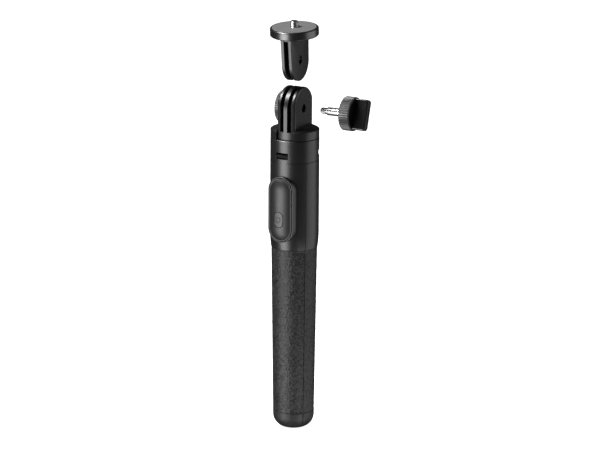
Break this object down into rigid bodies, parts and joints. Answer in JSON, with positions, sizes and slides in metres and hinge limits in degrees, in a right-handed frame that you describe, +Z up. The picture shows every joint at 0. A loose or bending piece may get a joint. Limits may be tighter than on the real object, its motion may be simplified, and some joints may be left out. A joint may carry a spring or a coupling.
{
  "type": "selfie stick",
  "caption": "Telescopic selfie stick with a handle that opens into a tripod, a removable remote, a fork head, a thumb screw and a camera adapter.",
  "frame": {"origin": "on the pole's axis at the foot of the closed handle", "axes": "+Z up along the pole to the camera stud, +X along the fork's pin towards the thumb screw"},
  "size_m": [0.0816, 0.043, 0.3253],
  "materials": {
    "abs_satin": "satin moulded black ABS",
    "abs_remote": "fine matt moulded black ABS",
    "knurled_plastic": "knurled dark grey",
    "grip_leather": "matt grained black leatherette",
    "foot_rubber": "matt black rubber",
    "black_anodised": "glossy black anodised",
    "pad_rubber": "grey rubber",
    "steel": "bright turned steel",
    "tube_steel": "drawn stainless tube",
    "frame_black": "black painted die-cast aluminium",
    "nylon": "natural nylon",
    "brass": "turned brass",
    "led_lens": "smoked clear lens",
    "board_green": "solder mask"
  },
  "bodies": {
    "handle": {"collar": "abs_satin", "hinge_pins": "steel", "outer_tube": "tube_steel", "tube_plug": "nylon"},
    "leg_front": {"leg_front_frame": "frame_black", "leg_front_housing": "abs_satin", "leg_front_grip": "grip_leather", "leg_front_foot": "foot_rubber", "leg_front_screws": "steel", "remote_cradle": "abs_satin"},
    "leg_left": {"leg_left_frame": "frame_black", "leg_left_housing": "abs_satin", "leg_left_grip": "grip_leather", "leg_left_foot": "foot_rubber", "leg_left_screws": "steel"},
    "leg_right": {"leg_right_frame": "frame_black", "leg_right_housing": "abs_satin", "leg_right_grip": "grip_leather", "leg_right_foot": "foot_rubber", "leg_right_screws": "steel"},
    "section_2": {"section_2": "tube_steel", "bush_2": "nylon"},
    "section_3": {"section_3": "tube_steel", "bush_3": "nylon"},
    "section_4": {"section_4": "tube_steel", "bush_4": "nylon"},
    "section_5": {"section_5": "tube_steel", "bush_5": "nylon"},
    "section_6": {"section_6": "tube_steel", "bush_6": "nylon"},
    "section_7": {"section_7": "tube_steel", "bush_7": "nylon", "swivel_post": "steel"},
    "head": {"head_body": "abs_satin", "nut_knob": "knurled_plastic", "insert_nut": "brass", "swivel_pin": "steel"},
    "screw_washer": {"washer": "nylon"},
    "thumb_screw": {"knob_rim": "knurled_plastic", "knob_wing": "abs_satin", "knob_shaft": "steel"},
    "adapter_carrier": {"adapter_bushes": "steel"},
    "adapter": {"adapter_fork": "abs_satin", "adapter_disc": "black_anodised", "adapter_pad": "pad_rubber", "adapter_stud": "steel"},
    "remote": {"remote_base": "abs_remote", "remote_seal": "foot_rubber", "remote_top": "abs_remote", "remote_led": "led_lens", "battery": "steel", "circuit_board": "board_green", "switch": "steel"},
    "battery_door": {"battery_door": "abs_remote"},
    "shutter": {"shutter_button": "abs_remote"}
  },
  "joints": [
    {"name": "leg_front_open", "type": "hinge", "parent": "handle", "child": "leg_front", "pos_m": [-0.0015, -0.01553, 0.2209], "axis": [-0.9954, 0.0958, 0], "range_deg": [0, 30]},
    {"name": "leg_left_open", "type": "hinge", "parent": "handle", "child": "leg_left", "pos_m": [-0.0127, 0.00906, 0.2209], "axis": [0.5807, 0.8141, 0], "range_deg": [0, 30]},
    {"name": "leg_right_open", "type": "hinge", "parent": "handle", "child": "leg_right", "pos_m": [0.0142, 0.00647, 0.2209], "axis": [0.4147, -0.91, 0], "range_deg": [0, 30]},
    {"name": "section_2_slide", "type": "slide", "parent": "handle", "child": "section_2", "axis": [0, 0, 1], "range_m": [0, 0.16]},
    {"name": "section_3_slide", "type": "slide", "parent": "section_2", "child": "section_3", "axis": [0, 0, 1], "range_m": [0, 0.16]},
    {"name": "section_4_slide", "type": "slide", "parent": "section_3", "child": "section_4", "axis": [0, 0, 1], "range_m": [0, 0.16]},
    {"name": "section_5_slide", "type": "slide", "parent": "section_4", "child": "section_5", "axis": [0, 0, 1], "range_m": [0, 0.16]},
    {"name": "section_6_slide", "type": "slide", "parent": "section_5", "child": "section_6", "axis": [0, 0, 1], "range_m": [0, 0.16]},
    {"name": "section_7_slide", "type": "slide", "parent": "section_6", "child": "section_7", "axis": [0, 0, 1], "range_m": [0, 0.16]},
    {"name": "head_swivel", "type": "hinge", "parent": "section_7", "child": "head", "pos_m": [0, 0, 0.2375], "axis": [0, 0, 1], "continuous": true},
    {"name": "screw_pull", "type": "slide", "parent": "head", "child": "screw_washer", "axis": [1, 0, 0], "range_m": [-0.0343, 0]},
    {"name": "screw_turn", "type": "hinge", "parent": "screw_washer", "child": "thumb_screw", "pos_m": [0.0425, 0, 0.2565], "axis": [1, 0, 0], "continuous": true},
    {"name": "adapter_lift", "type": "slide", "parent": "head", "child": "adapter_carrier", "axis": [0, 0, 1], "range_m": [-0.0376, 0]},
    {"name": "adapter_tilt", "type": "hinge", "parent": "adapter_carrier", "child": "adapter", "pos_m": [0, 0, 0.2941], "axis": [1, 0, 0], "range_deg": [-94.5, 85.5]},
    {"name": "remote_pull", "type": "slide", "parent": "leg_front", "child": "remote", "axis": [-0.0958, -0.9954, 0], "range_m": [0, 0.012]},
    {"name": "battery_door_twist", "type": "hinge", "parent": "remote", "child": "battery_door", "pos_m": [-0.0016, -0.01662, 0.1875], "axis": [-0.0958, -0.9954, 0], "range_deg": [0, 45]},
    {"name": "shutter_press", "type": "slide", "parent": "remote", "child": "shutter", "axis": [0.0958, 0.9954, 0], "range_m": [0, 0.0007], "stiffness_N_per_m": 600}
  ]
}
